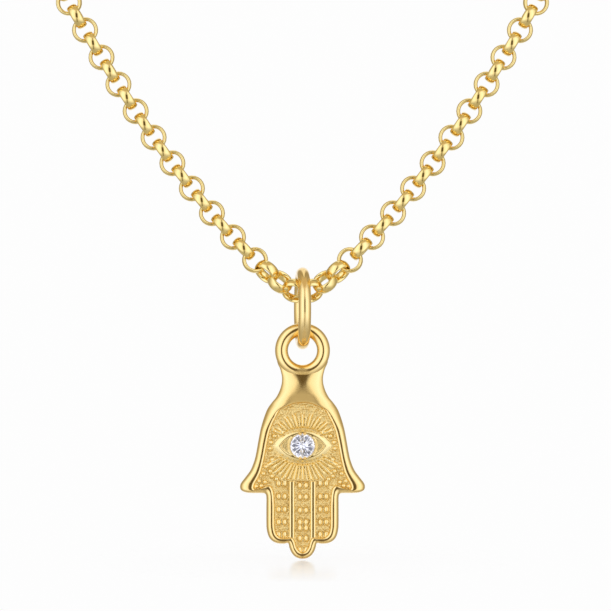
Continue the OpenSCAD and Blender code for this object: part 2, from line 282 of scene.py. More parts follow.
# %% Gold materials
GOLD, GOLD_PALE = (0.95, 0.66, 0.235, 1), (1.0, 0.76, 0.34, 1)
GOLD_CAST, GOLD_WORN = (0.89, 0.645, 0.24, 1), (0.98, 0.76, 0.34, 1)
GOLD_LINK, GOLD_LINK_PALE = (0.92, 0.69, 0.24, 1), (0.98, 0.78, 0.34, 1)
# Scales of the noises, from coarse to fine, and what two of them add to the roughness
DRIFT, WAVES, HAIRS, DRIFT_ROUGH, HAIR_ROUGH = 260.0, 900.0, 5200.0, 0.03, 0.05
# The same for the cast field, then its bump, and what its colour owes to wear, drift and grain
FIELD_DRIFT, FIELD_GRAIN, FIELD_ROUGH, FIELD_WORN, GRAIN_ROUGH = 500.0, 7000.0, 0.32, 0.20, 0.2
GRAIN_DEPTH, GRAIN_WORN = 0.05, 0.9
BY_SHINE, BY_DRIFT, BY_GRAIN = 0.8, 0.5, 0.3


def polished_gold(name, roughness, wave=0.012, satin=0.0, colours=(GOLD, GOLD_PALE)):
    """Bright gold; with satin, it is rougher by that and deeper in colour where shine is nought."""
    material, tree, shader, place = new_material(name)
    drift = noise(tree, place, DRIFT, 2.0)
    hairs = noise(tree, place, HAIRS, 4.0, 0.6)
    shine = attribute(tree, "shine") if satin else 1.0
    rough = roughness + HAIR_ROUGH * (hairs - 0.5) + DRIFT_ROUGH * (drift - 0.5)
    if satin:
        rough = rough + satin * (1 - shine)
    plug_all(tree, shader, Base_Color=two_colours(tree, drift * shine, *colours), Metallic=1.0,
             Roughness=rough, Normal=bump(tree, noise(tree, place, WAVES, 2.0), wave * MM))
    return material


def cast_gold(name):
    """Matte cast gold, worn smooth and paler where shine is one."""
    material, tree, shader, place = new_material(name)
    drift = noise(tree, place, FIELD_DRIFT, 3.0)
    grain = noise(tree, place, FIELD_GRAIN, 3.0, 0.65)
    shine = attribute(tree, "shine")
    worn = shine * BY_SHINE + BY_DRIFT * (drift - 0.5) + BY_GRAIN * (grain - 0.5)
    rough = FIELD_ROUGH - FIELD_WORN * shine + GRAIN_ROUGH * (grain - 0.5) * (1 - shine)
    normal = bump(tree, grain * (1 - shine * GRAIN_WORN), GRAIN_DEPTH * MM)
    plug_all(tree, shader, Base_Color=two_colours(tree, worn, GOLD_CAST, GOLD_WORN), Metallic=1.0,
             Roughness=rough, Normal=normal)
    return material


polish = polished_gold("polished_gold", roughness=0.13)
rim_polish = polished_gold("rim_gold", roughness=0.12, satin=0.22)
link_polish = polished_gold("link_gold", roughness=0.07, wave=0.004,
                            colours=(GOLD_LINK, GOLD_LINK_PALE))
cast = cast_gold("cast_gold")
print("materials:", ", ".join(m.name for m in (polish, rim_polish, link_polish, cast)))

# %% [markdown]
# ## The route of the chain
# The route is the same short list of points that the CAD model uses: the right half of the loop,
# from the middle of the jump ring to the nape, in shares of the loop's width, depth and drop. A
# smooth curve runs through them, and the places of the links are measured along it.

# %% Route
LOOP_W, FRONT_D, NAPE_D, CHAIN_DROP = 100.0, 56.0, 45.5, 84.0
# Half the length of the clasp with its rings, and the outer diameter of a link
GROUP_HALF, LINK_OD = 7.3, 2.64
ROUTE_STEPS = 12
ROUTE_ROWS = [
    (0, -1, -1), (0.046, -1, -0.987), (0.094, -1, -0.962), (0.182, -1, -0.905),
    (0.296, -1, -0.817), (0.402, -1, -0.72), (0.5, -0.991, -0.621), (0.64, -0.911, -0.476),
    (0.82, -0.696, -0.298), (0.96, -0.357, -0.131), (1, 0.022, -0.036), (0.88, 0.484, 0),
    (0.62, 0.813, 0), (0.34, 0.963, 0),
]
ROUTE = [(x * LOOP_W / 2, y * (FRONT_D if y < 0 else NAPE_D), z * CHAIN_DROP)
         for x, y, z in ROUTE_ROWS]
ROUTE += [(GROUP_HALF + LINK_OD / 4, NAPE_D, 0), (0, NAPE_D, 0)]


def smooth_line(points, steps, before, after):
    """A Catmull-Rom curve through the points, open at both ends."""
    points = np.asarray(points, float)
    line = []
    for i in range(len(points) - 1):
        a = before if i == 0 else points[i - 1]
        d = after if i == len(points) - 2 else points[i + 2]
        b, c = points[i], points[i + 1]
        for t in np.arange(steps) / steps:
            line.append(0.5 * (2 * b + (c - a) * t + (2 * a - 5 * b + 4 * c - d) * t**2
                               + (3 * b - a - 3 * c + d) * t**3))
    line.append(points[-1])
    return np.array(line)


flip_x = np.array((-1.0, 1.0, 1.0))
path = smooth_line(ROUTE, ROUTE_STEPS, flip_x * ROUTE[1], flip_x * ROUTE[-2])
along = np.concatenate([[0], np.cumsum(np.linalg.norm(np.diff(path, axis=0), axis=1))])


def at(distance):
    """The point at a distance along the route; the other half of the loop has negative ones."""
    point = np.array([np.interp(abs(distance), along, path[:, k]) for k in range(3)])
    return point if distance >= 0 else point * flip_x


def heading(distance, near=0.5):
    ahead = at(distance + near) - at(distance - near)
    return ahead / np.linalg.norm(ahead)


print(f"half of the loop: {along[-1]:.1f} mm")

# %% [markdown]
# ## Links
# A belcher chain is made of round rings of oval band, each through the next and turned by a
# right angle. The last ones before the jump ring twist away from that, because the two that meet
# in it sit square to each other and the chain is the same on both sides.
#
# One link is swept from an oval along a circle inside a Geometry Nodes tree, and the tree puts a
# copy on each point of a cloud. Each point carries the direction of its link's axis.

# %% Places and axes of the links
LINK_T, LINK_W = 0.42, 1.06
LINKS = 121
# The first EASED links hang further apart, by EASE in all
EASE, EASED = 0.27, 3.5
# Degrees by which the first links twist, and the first one that faces out of the loop
TWISTS, OUT_LINK = (45, 56, 28, 10, 3), 3
STEP = (along[-1] - GROUP_HALF - EASE) / (LINKS - 0.5)


def link_place(i):
    """Distance of link i along the route."""
    return (i + 0.5) * STEP + EASE * min(1, (i + 0.5) / EASED)


def link_axis(i):
    t = heading(link_place(i))
    out = np.array((t[1], -t[0], 0.0))
    out /= np.linalg.norm(out)
    upright = np.cross(t, out)
    turn = math.radians(90 * (OUT_LINK - i) - (TWISTS[i] if i < len(TWISTS) else 0))
    return out * math.cos(turn) + upright * math.sin(turn)


link_places = np.array([at(link_place(i)) for i in range(LINKS)])
link_axes = np.array([link_axis(i) for i in range(LINKS)])
print(f"{LINKS} links a side, {STEP:.3f} mm apart")

# %% Tree that puts a link on every point
LINK_SIDES, BAND_SIDES = 24, 10
LINK_SIZES = {"Link Diameter": LINK_OD * MM, "Band Thickness": LINK_T * MM,
              "Band Width": LINK_W * MM}


def link_tree():
    tree = bpy.data.node_groups.new("links_on_points", "GeometryNodeTree")
    face = tree.interface
    face.new_socket("Geometry", in_out="INPUT", socket_type="NodeSocketGeometry")
    for name, value in LINK_SIZES.items():
        face.new_socket(name, in_out="INPUT", socket_type="NodeSocketFloat").default_value = value
    face.new_socket("Metal", in_out="INPUT", socket_type="NodeSocketMaterial")
    face.new_socket("Geometry", in_out="OUTPUT", socket_type="NodeSocketGeometry")
    inputs = make_node(tree, "NodeGroupInput").outputs
    diameter, thick, wide = (Wire(tree, inputs[name]) for name in LINK_SIZES)

    def add(*kind, **values):
        return value_of(tree, *kind, **values)

    circle = add("Curve", "GeometryNodeCurvePrimitiveCircle", {"mode": "RADIUS"},
                 Resolution=LINK_SIDES, Radius=(diameter - thick) * 0.5)
    oval = add("Curve", "GeometryNodeCurvePrimitiveCircle", {"mode": "RADIUS"},
               Resolution=BAND_SIDES, Radius=0.5)
    stretch = add(0, "ShaderNodeCombineXYZ", X=thick, Y=wide, Z=1.0)
    band = add("Geometry", "GeometryNodeTransform", Geometry=oval, Scale=stretch)
    swept = add("Mesh", "GeometryNodeCurveToMesh", Curve=circle, Profile_Curve=band)
    link = add("Geometry", "GeometryNodeSetShadeSmooth", Geometry=swept)
    axis = add("Attribute", "GeometryNodeInputNamedAttribute", {"data_type": "FLOAT_VECTOR"},
               Name="link_axis")
    facing = add("Rotation", "FunctionNodeAlignRotationToVector", {"axis": "Z"}, Vector=axis)
    copies = add("Instances", "GeometryNodeInstanceOnPoints", Instance=link, Rotation=facing,
                 Points=Wire(tree, inputs["Geometry"]))
    real = add("Geometry", "GeometryNodeRealizeInstances", Geometry=copies)
    metal = add("Geometry", "GeometryNodeSetMaterial", Geometry=real,
                Material=Wire(tree, inputs["Metal"]))
    make_node(tree, "NodeGroupOutput", None, Geometry=metal)
    return tree


links_on_points = link_tree()
print("tree:", links_on_points.name, "with", len(links_on_points.nodes), "nodes")


# %% Grow both halves
def grown(name, tree, points, axes, values):
    """A piece that a tree grows on points with axes, as a plain mesh."""
    cloud = bpy.data.meshes.new(name + "_points")
    cloud.from_pydata([tuple(p) for p in points], [], [])
    layer = cloud.attributes.new("link_axis", "FLOAT_VECTOR", "POINT")
    layer.data.foreach_set("vector", axes.ravel())
    seed = in_scene(name + "_points", cloud)
    modifier = seed.modifiers.new("grow", "NODES")
    modifier.node_group = tree
    for socket in tree.interface.items_tree:
        if socket.in_out == "INPUT" and socket.name in values:
            modifier[socket.identifier] = values[socket.name]
    depsgraph = bpy.context.evaluated_depsgraph_get()
    mesh = bpy.data.meshes.new_from_object(seed.evaluated_get(depsgraph))
    mesh.name = name
    seed.modifiers.remove(modifier)
    bpy.data.objects.remove(seed)
    return outwards(in_scene(name, mesh))


chains = {}
for name, mirror in (("chain_right", np.ones(3)), ("chain_left", flip_x)):
    chains[name] = grown(name + "_links", links_on_points, link_places * mirror * MM,
                         link_axes * mirror, {**LINK_SIZES, "Metal": link_polish})
    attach(chains[name], "chain")
    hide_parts(name)
    print(chains[name].name, triangles(chains[name]), "triangles")

# %% [markdown]
# ## Rings
# The jump ring, the charm's eye and the small end rings are round wire. The CAD meshes are
# coarse where light slides along polished wire, so the jump ring is swept again finely, and the
# charm's eye later on.

# %% Round wire
def torus(mid, wire, around, across):
    """Corners and faces of a ring of round wire about Z, in millimetres."""
    turn = np.linspace(0, 2 * np.pi, around, endpoint=False)[:, None]
    roll = np.linspace(0, 2 * np.pi, across, endpoint=False)[None, :]
    reach = mid + wire / 2 * np.cos(roll)
    corners = np.stack([reach * np.cos(turn), reach * np.sin(turn),
                        wire / 2 * np.sin(roll) + 0 * turn], -1).reshape(-1, 3)
    return corners, loft(around, across, closed=True)


RING_OD, RING_WIRE, RING_TURN = 8.2, 1.25, 4.0
RING_AROUND, EYE_AROUND, WIRE_AROUND = 160, 128, 40
wire, wire_faces = torus((RING_OD - RING_WIRE) / 2, RING_WIRE, RING_AROUND, WIRE_AROUND)
turned = Matrix.Rotation(math.radians(RING_TURN), 3, "Z") @ Matrix.Rotation(math.pi / 2, 3, "Y")
wire = wire @ np.array(turned).T + np.array(middle("jump_ring")) / MM
jump_ring = outwards(new_piece("jump_ring_wire", wire * MM, wire_faces))
jump_ring.data.materials.append(polish)
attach(jump_ring, "ring")
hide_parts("jump_ring")
print("jump ring:", triangles(jump_ring), "triangles")

# %% [markdown]
# ## The hand, cast in one piece
# The charm was cast, so nothing on it is sharp: a broad rounded rim climbs from the edge to a
# crest, then falls steeply into a sunken field. The neck under the eye is a rounded bar, which
# widens into a flat shoulder above the field's domed top. The hand is drawn flat, with y from the
# middle of its eye. Its outline has the rows of points that the CAD draws it with: the edge's
# distance from the middle and its drop, then the crest's, in shares of a width and a length.

# %% Outline rows
NECK_W, NECK_H, PALM_H = 4.1, 3.1, 9.1
FINGERS_W, MIDDLE_W, OUTER_L, MIDDLE_L = 7.25, 2.15, 5.05, 6.55
FIELD_DEPTH, FINGER_ROOT = 0.45, 1.3
NECK_Y = EYE_MID
PALM_Y = NECK_Y + NECK_H
THUMB_Y = PALM_Y + PALM_H
HAND_L = THUMB_Y + MIDDLE_L
FIELD_Z = HAND_T - FIELD_DEPTH
FINGERS_Y = THUMB_Y - FINGER_ROOT

NECK_ROWS = [
    (0, -0.097, 0, 0.02), (0.44, -0.142, 0.01, 0.035), (0.854, -0.284, 0.01, 0.05),
    (1.22, -0.348, 0.01, 0.065), (1.19, -0.219, 0.01, 0.08), (1.098, -0.09, 0.01, 0.1),
    (1.044, 0.039, 0.01, 0.14), (1.005, 0.168, 0.01, 0.22), (1, 0.29, 0.01, 0.33),
    (1.03, 0.44, 0.01, 0.46), (1.13, 0.64, 0.12, 0.64), (1.29, 0.84, 0.5, 0.86),
]
PALM_ROWS = [
    (0.488, 0, 0.25, 0.026), (0.56, 0.071, 0.4, 0.09), (0.616, 0.165, 0.496, 0.192),
    (0.669, 0.286, 0.56, 0.297), (0.707, 0.418, 0.605, 0.424), (0.744, 0.56, 0.643, 0.566),
    (0.776, 0.648, 0.672, 0.659), (0.832, 0.742, 0.712, 0.758), (0.912, 0.819, 0.76, 0.83),
    (0.984, 0.885, 0.808, 0.89), (1, 0.929, 0.824, 0.929), (0.979, 0.967, 0.813, 0.956),
    (0.904, 0.991, 0.768, 0.965), (0.8, 0.998, 0.688, 0.954), (0.656, 0.998, 0.6, 0.94),
]
FINGER_ROWS = [
    (1.028, 0.012, 0.926, -0.1), (1, 0.08, 0.862, 0), (1, 0.257, 0.848, 0.238),
    (1, 0.573, 0.848, 0.573), (0.989, 0.711, 0.837, 0.702), (0.939, 0.85, 0.801, 0.81),
    (0.843, 0.939, 0.732, 0.88), (0.704, 0.988, 0.635, 0.919), (0.53, 1, 0.483, 0.93),
    (0.401, 0.99, 0.331, 0.92),
]
TIP_ROWS = [
    (1.237, 0.824, 0.884, 0.771), (1.07, 0.893, 0.763, 0.84), (0.791, 0.954, 0.54, 0.901),
    (0.419, 0.989, 0.279, 0.931), (0, 1, 0, 0.942),
]
# Domed top of the field, in shares of half the hand's width and the palm's height
DOME_ROWS = [(0, 0), (0.12, 0.008), (0.224, 0.031), (0.31, 0.058), (0.376, 0.088)]
print(f"hand {HAND_L + EYE_OD / 2:.2f} mm high with its eye")


# %% Outline, and the lip and foot of the field's wall
def placed(rows, half_width, start, length):
    return [(x * half_width, -(start + y * length), u * half_width, -(start + v * length))
            for x, y, u, v in rows]


def both_sides(right):
    """A closed line from its right half."""
    left = right[::-1] * np.tile((-1.0, 1.0), right.shape[1] // 2)
    return np.vstack([right, left[left[:, 0] < -1e-6]])


# The lip is that far inside the crest, and the wall's foot that far inside the lip
LIP, WALL = 0.26, 0.10
OUTLINE_STEPS, DOME_STEPS, CREST_X, FLANK_TOP, DOME_FAN = 5, 6, 0.01, 0.13, 0.5
rows = np.array(placed(NECK_ROWS, NECK_W / 2, NECK_Y, NECK_H)
                + placed(PALM_ROWS, HAND_W / 2, PALM_Y, PALM_H)
                + placed(FINGER_ROWS, FINGERS_W / 2, THUMB_Y, OUTER_L)
                + placed(TIP_ROWS, MIDDLE_W / 2, THUMB_Y, MIDDLE_L))
mirrored = np.array((-1, 1, -1, 1))
right = smooth_line(rows, OUTLINE_STEPS, rows[1] * mirrored, rows[-2] * mirrored)
right[1:-1, 2] = np.maximum(right[1:-1, 2], CREST_X)
outline = both_sides(right)
edge, crest = outline[:, :2], outline[:, 2:]

flank = right[right[:, 3] < -(PALM_Y + FLANK_TOP * PALM_H)]
inward = flank[:, 2:] - flank[:, :2]
inward /= np.linalg.norm(inward, axis=1)[:, None]
inward[-1] = 0, 1
lip_side = flank[:, 2:] + LIP * inward
dome_line = np.array([(x * HAND_W / 2, -(PALM_Y + y * PALM_H)) for x, y in DOME_ROWS])
dome_line = smooth_line(dome_line, DOME_STEPS, dome_line[1] * (-1, 1), lip_side[1])
outward = np.column_stack([dome_line[:, 0] * DOME_FAN, np.full(len(dome_line), 1.0)])
outward /= np.linalg.norm(outward, axis=1)[:, None]
lip = both_sides(np.vstack([dome_line, lip_side]))
foot = both_sides(np.vstack([dome_line - WALL * outward, lip_side + WALL * inward]))
print(f"outline of {len(outline)} points, {-edge[:, 1].min():.2f} mm below the eye's middle")

# %% [markdown]
# The outer part of the body is a loft. A level of it is a share of the way from the edge to the
# crest, and a height. The back corner is a quarter of an ellipse. The broad rim is one with a
# power that varies: flatter on top along neck, palm and fingers, rounder at the shoulder. The
# ground between the crest and the field's lip is filled with triangles. The neck grows thinner
# towards the eye's wire, and the shoulder slopes a little.

# %% Tools for flat shapes
FAR = 9.0


def ramp(value, low, high):
    share = np.clip((value - low) / (high - low), 0, 1)
    return share * share * (3 - 2 * share)


def distance_to(line, x, y):
    """Distance from points to a closed line."""
    near = np.full(x.shape, FAR)
    for (x0, y0), (x1, y1) in zip(line, np.roll(line, -1, axis=0)):
        dx, dy = x1 - x0, y1 - y0
        share = np.clip(((x - x0) * dx + (y - y0) * dy) / (dx * dx + dy * dy + 1e-12), 0, 1)
        near = np.minimum(near, np.hypot(x - x0 - share * dx, y - y0 - share * dy))
    return near


def inside(polygon, x, y):
    """Which points lie inside a closed line."""
    held = np.zeros(x.shape, bool)
    for (x0, y0), (x1, y1) in zip(polygon, np.roll(polygon, -1, axis=0)):
        if y0 != y1:
            held ^= ((y < y0) != (y < y1)) & (x < x0 + (y - y0) * (x1 - x0) / (y1 - y0))
    return held


# %% Heights and levels of the body
# Where the neck's slope starts and ends and the shoulder's ends, below the eye's middle
NECK_START, BEND_Y, SLOPE_END = 2.1, 4.1, 7.4
BEND_SOFT, BEND_SAMPLES = 0.24, 7
# Shares of the thickness: at the neck's thin end, and lost down the shoulder
NECK_THIN, SLOPE = 0.70, 0.12


def thickness(y):
    """Share of the full thickness that the casting has at a level, averaged to soften the bend."""
    total = 0
    for shift in BEND_SOFT * np.linspace(-1, 1, BEND_SAMPLES):
        climb = np.clip((shift - y - NECK_START) / (BEND_Y - NECK_START), 0, 1)
        fall = np.clip((shift - y - BEND_Y) / (PALM_Y - BEND_Y), 0, 1)
        fall = fall * (1 - ramp(-y, PALM_Y, SLOPE_END))
        total = total + NECK_THIN + (1 - NECK_THIN) * climb - SLOPE * fall
    return total / BEND_SAMPLES


def at_level(flat, height):
    z = HAND_T / 2 + (height - HAND_T / 2) * thickness(flat[:, 1])
    return np.column_stack([flat, z])


# The round back in shares of the way to the crest and of the thickness, and the rim's foot
BACK_ROUND, BACK_RISE, RIM_FOOT = 0.40, 0.28, 0.42
BACK_LEVELS, RIM_LEVELS = 7, 20
# How straight the neck rises to its crest, and where that ends
NECK_ROOF, ROOF_ENDS = 0.07, (3.2, 4.6)
# What the power of the rim's ellipse gains or loses, and where that changes
NECK_FLAT, NECK_ENDS = 0.45, (2.0, 3.3)
PALM_FLAT, PALM_STARTS = 0.5, (5.6, 8.0)
SHOULDER_ROUND, SHOULDER_STARTS, SHOULDER_ENDS = 0.35, (4.6, 5.4), (7.0, 8.2)

levels = []
for a in np.radians(np.linspace(0, 90, BACK_LEVELS)):
    levels.append(at_level(edge + (crest - edge) * BACK_ROUND * (1 - math.sin(a)),
                           HAND_T * BACK_RISE * (1 - math.cos(a))))
below = -edge[:, 1]
roof_share = NECK_ROOF * (1 - ramp(below, *ROOF_ENDS))
power = 2 + PALM_FLAT * ramp(below, *PALM_STARTS) + NECK_FLAT * (1 - ramp(below, *NECK_ENDS))
power = power - SHOULDER_ROUND * (ramp(below, *SHOULDER_STARTS) - ramp(below, *SHOULDER_ENDS))
bend = 2 / power
for a in np.radians(90 * (1 - np.linspace(1, 0, RIM_LEVELS) ** 2)):
    share = 1 - max(math.cos(a), 0) ** bend
    climb = math.sin(a) ** bend * (1 - roof_share) + share * roof_share
    levels.append(at_level(edge + (crest - edge) * share[:, None],
                           HAND_T * (RIM_FOOT + (1 - RIM_FOOT) * climb)))

body = np.vstack(levels)
body_faces = loft(len(levels), len(outline)) + [tuple(range(len(outline)))]
crest_first = len(body) - len(outline)
print("outer part of the body:", len(body_faces), "faces")

# %% Ground between crest and field
FILL_STEP, FILL_KEEP = 0.12, 0.07
FILL_X, FILL_LOW, FILL_HIGH = 3.5, -7, -1.8
BETWEEN = (0.25, 0.5, 0.75)
gx, gy = (g.ravel() for g in np.meshgrid(np.arange(-FILL_X, FILL_X, FILL_STEP),
                                         np.arange(FILL_LOW, FILL_HIGH, FILL_STEP)))
free = inside(crest, gx, gy) & ~inside(lip, gx, gy)
free &= (distance_to(crest, gx, gy) > FILL_KEEP) & (distance_to(lip, gx, gy) > FILL_KEEP)
extra = [both_sides(flank[:, 2:] + LIP * share * inward) for share in BETWEEN]
ground = np.vstack([crest, lip, np.column_stack([gx[free], gy[free]]), *extra])
crest_n, lip_n = len(crest), len(lip)
fences = [(i, (i + 1) % crest_n) for i in range(crest_n)]
fences += [(crest_n + i, crest_n + (i + 1) % lip_n) for i in range(lip_n)]
filled = delaunay_2d_cdt([Vector(p) for p in ground], fences, [], 0, 1e-7)
flat, fill_sets, origins = np.array([tuple(v) for v in filled[0]]), np.array(filled[2]), filled[3]
centre = flat[fill_sets].mean(axis=1)
kept = inside(crest, *centre.T) & ~inside(lip, *centre.T)

# The ground drops towards the lip, over a narrow strip and less at the shoulder
LIP_DROP, SHOULDER_LIP, SHOULDER_SHARE, DROP_STARTS = 0.11, 0.10, 0.4, (5.6, 6.8)
at_rim = ramp(-flat[:, 1], *DROP_STARTS)
drop_w = SHOULDER_LIP + (LIP - SHOULDER_LIP) * at_rim
drop = LIP_DROP * np.clip(1 - distance_to(lip, *flat.T) / drop_w, 0, 1) ** 3
drop *= SHOULDER_SHARE + (1 - SHOULDER_SHARE) * at_rim
fill_z = at_level(flat, HAND_T)[:, 2] - drop
new_of = {old: new for new, originals in enumerate(origins) for old in originals}
numbers = np.arange(len(flat)) + len(body)
numbers[[new_of[i] for i in range(crest_n)]] = crest_first + np.arange(crest_n)
lip_row = [numbers[new_of[crest_n + i]] for i in range(lip_n)]
body = np.vstack([body, np.column_stack([flat, fill_z])])
body_faces += [tuple(numbers[list(t)]) for t in fill_sets[kept]]
print("ground:", int(kept.sum()), "triangles")

# %% Wall down to the hollow under the field
# Share of the way from lip to foot, and the height against the crest
WALL_ROWS = [(0.3, -0.20), (0.65, -0.34), (0.9, -0.47), (1, -0.6)]
HOLLOW_Z = 0.10
wall_start = len(body)
wall = [at_level(lip + (foot - lip) * share, HAND_T + rise) for share, rise in WALL_ROWS]
wall.append(np.column_stack([foot, np.full(lip_n, HOLLOW_Z)]))
body = np.vstack([body, *wall])
body_faces += loft(len(wall), lip_n, wall_start)
body_faces += strip(lip_row, range(wall_start, wall_start + lip_n))
body_faces.append(tuple(range(len(body) - lip_n, len(body))))
print("body:", len(body_faces), "faces")

# %% [markdown]
# ## Relief of the field
# The field is a sheet of fine squares whose height is the highest of simple shapes: rays round
# the eye, rounded lids round a hollow, ridges between the fingers, pairs of oval beads, single
# beads beside the eye, and fine granules elsewhere. The slot between the beads of a pair stays
# flat and polished, and so mirrors the dark front of the tent. A seeded random grain stands for
# the roughness of casting. The sheet is closed below and runs in under the wall, without a gap.

# %% Grid
GRID, GRID_X, GRID_OVER, IRIS_DROP = 0.042, 5.4, 0.3, 4.35
IRIS_Y = PALM_Y + IRIS_DROP
stone_low, stone_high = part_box("stone")
STONE_R = (stone_high.x - stone_low.x) / 2 / MM
xs = np.arange(-GRID_X, GRID_X + GRID / 2, GRID)
ys = np.arange(-HAND_L, -PALM_Y + GRID_OVER, GRID)
X, Y = np.meshgrid(xs, ys)


def dome(distance, radius, height, flat=2.0):
    """A round bump with that radius and height; a higher power makes its top flatter."""
    return height * (1 - np.clip(np.abs(distance) / radius, 0, 1) ** flat) ** (1 / flat)


def blob(distance, foot, cap):
    """A low round-tipped cone on a steep foot; the distance is in shares of its radius."""
    share = np.clip(distance, 0, 1)
    return foot * (1 - share**6) + cap * (1 - share**1.3)


def soft_noise(seed, size, high=20, wide=14):
    """Smooth random hills about one size across, from -1 to 1."""
    rng = np.random.default_rng(seed)
    cells = rng.uniform(-1, 1, (int(high / size) + 3, int(wide / size) + 3))
    u, v = (X - xs[0]) / size, (Y - ys[0]) / size
    i, j = u.astype(int), v.astype(int)
    fu, fv = ramp(u - i, 0, 1), ramp(v - j, 0, 1)
    lower = cells[j, i] * (1 - fu) + cells[j, i + 1] * fu
    upper = cells[j + 1, i] * (1 - fu) + cells[j + 1, i + 1] * fu
    return lower * (1 - fv) + upper * fv


in_field = inside(lip, X, Y)
to_wall = distance_to(foot, X, Y) * np.where(inside(foot, X, Y), 1, -1)
print(f"grid {len(xs)} by {len(ys)}, {int(in_field.sum())} points in the field")

# %% Rays
ALMOND_W, ALMOND_H = 5.93, 3.36
RAY_R, LONG_RAY_R, RAY_H, RAY_TURN, RAY_SPREAD = 3.6, 4.2, 0.40, 7.6, 68.0
# Every second ray is strong, and the ground between them is raised too
STRONG_L, WEAK_L, WEAK_H, STRONG_POWER, WEAK_POWER, RAY_BASE = 0.1, -0.25, 0.62, 0.6, 0.9, 0.25
# Where the rays fade: at their tips, at the lids and above the fingers
RAY_FADE, RAY_STARTS, RAY_ENDS = 0.8, (0.06, 0.34), (0.0, 0.12)
EY = Y + IRIS_Y
from_iris = np.hypot(X, EY)
angle = np.degrees(np.arctan2(EY, X)) % 360
arc = (ALMOND_W**2 + ALMOND_H**2) / (4 * ALMOND_H)
in_almond = arc - np.maximum(np.hypot(X, EY + arc - ALMOND_H / 2),
                             np.hypot(X, EY - arc + ALMOND_H / 2))

rays = np.zeros(X.shape)
for fan_angle, fan_r in ((90, RAY_R), (270, LONG_RAY_R)):
    turn = (angle - fan_angle) / RAY_TURN
    ray = np.round(turn)
    strong = np.abs(ray) % 2 == 0
    fan = np.abs(angle - fan_angle) < RAY_SPREAD
    hill = np.clip(np.cos(np.pi * (turn - ray)), 0, 1)
    ridge = RAY_BASE + (1 - RAY_BASE) * hill ** np.where(strong, STRONG_POWER, WEAK_POWER)
    reach = fan_r + np.where(strong, STRONG_L, WEAK_L)
    ray_h = RAY_H * np.where(strong, 1.0, WEAK_H)
    rays += fan * ridge * ray_h * (1 - ramp(from_iris, reach - RAY_FADE, reach))
rays *= ramp(-in_almond, *RAY_STARTS) * ramp(Y + FINGERS_Y, *RAY_ENDS)
print(f"rays up to {rays.max():.2f} mm high")

# %% Lids
LID_W, LID_H, LID_POWER = 0.66, 0.25, 0.9
# Shares of the width at crest and inner edge, and what the corners add
LID_CREST, LID_EDGE, CORNER_WIDER, CORNER_STARTS = 0.72, 1.05, 0.25, (1.6, 2.6)
# The hollow's height in the middle, its rise along y and x, and its limit
BOWL_Z, BOWL_RISE_Y, BOWL_RISE_X, BOWL_X, BOWL_TOP = 0.02, 0.30, 0.07, 2.4, 0.17
lid_w = LID_W * (1 + CORNER_WIDER * ramp(np.abs(X), *CORNER_STARTS))
over_lid = in_almond / lid_w
lid = LID_H * np.sin(np.pi / 2 * np.clip(over_lid / LID_CREST, 0, 1)) ** LID_POWER
lid *= 1 - ramp(over_lid, LID_CREST, LID_EDGE)
bowl = np.minimum(BOWL_Z + BOWL_RISE_Y * EY**2 + BOWL_RISE_X * (X / BOWL_X) ** 2, BOWL_TOP)
lids = np.where(in_almond > lid_w / 2, np.maximum(lid, bowl), lid) * (in_almond > 0)
print(f"lids {ALMOND_W:.2f} by {ALMOND_H:.2f} mm")

# %% Ridges between the fingers, and beads
DIVIDER_X, DIVIDER_W, DIVIDER_H, DIVIDER_FLAT, DIVIDER_STARTS = 1.06, 0.60, 0.34, 3.0, (-0.05, 0.12)
SILL_R, SILL_H, SILL_X, SILL_SWING, SILL_WAVES = 0.13, 0.24, 0.3, 0.05, 6.5
dividers = dome(np.abs(X) - DIVIDER_X, DIVIDER_W / 2, DIVIDER_H, DIVIDER_FLAT)
dividers *= ramp(-Y - FINGERS_Y, *DIVIDER_STARTS)
wavy = SILL_SWING * np.sin(X * SILL_WAVES) ** 2
sill = dome(Y + FINGERS_Y - wavy, SILL_R, SILL_H) * (np.abs(X) < FINGERS_W * SILL_X)

# Half sizes of an oval bead, the pitch of a pair, and the heights of a bead's foot and cap
BEAD_W, BEAD_L, BEAD_PAIR, BEAD_FOOT, BEAD_CAP = 0.25, 0.37, 0.62, 0.20, 0.12
SLOT_W, SLOT_L, SLOT_EDGE = 0.09, 0.34, (0.7, 1.1)
# Places of the pairs in shares of the fingers' length, then the beads beside the eye
OUTER_BEADS = (-0.20, 0.058, 0.313, 0.564, 0.808)
MIDDLE_BEADS = (-0.125, 0.051, 0.255, 0.435, 0.525, 0.682, 0.857)
OUTER_CREST, MIDDLE_X = 0.424, 0.05
SIDE_BEAD_R = 0.25
SIDE_BEADS = [
    (2.08, 8.22), (2.80, 8.55), (3.16, 9.18), (3.26, 9.80), (3.05, 10.90), (3.66, 11.62),
    (3.22, 12.05), (3.90, 12.30), (4.34, 13.05), (3.74, 13.15), (4.12, 13.52), (4.62, 13.58),
    (2.60, 12.85), (3.05, 12.55),
]
outer_x = (MIDDLE_W / 2 + FINGERS_W * OUTER_CREST) / 2
pairs = [(side * outer_x, -(THUMB_Y + s * OUTER_L)) for side in (-1, 1) for s in OUTER_BEADS]
pairs += [(MIDDLE_X, -(THUMB_Y + s * MIDDLE_L)) for s in MIDDLE_BEADS]
to_bead, to_slot = np.full(X.shape, FAR), np.full(X.shape, FAR)
for x, y in pairs:
    to_slot = np.minimum(to_slot, np.hypot((X - x) / SLOT_W, (Y - y) / SLOT_L))
    for side in (-1, 1):
        shares = np.hypot((X - x - side * BEAD_PAIR / 2) / BEAD_W, (Y - y) / BEAD_L)
        to_bead = np.minimum(to_bead, shares)
for x, y in SIDE_BEADS:
    to_bead = np.minimum(to_bead, np.hypot(np.abs(X) - x, Y + y) / SIDE_BEAD_R)
beads = blob(to_bead, BEAD_FOOT, BEAD_CAP)
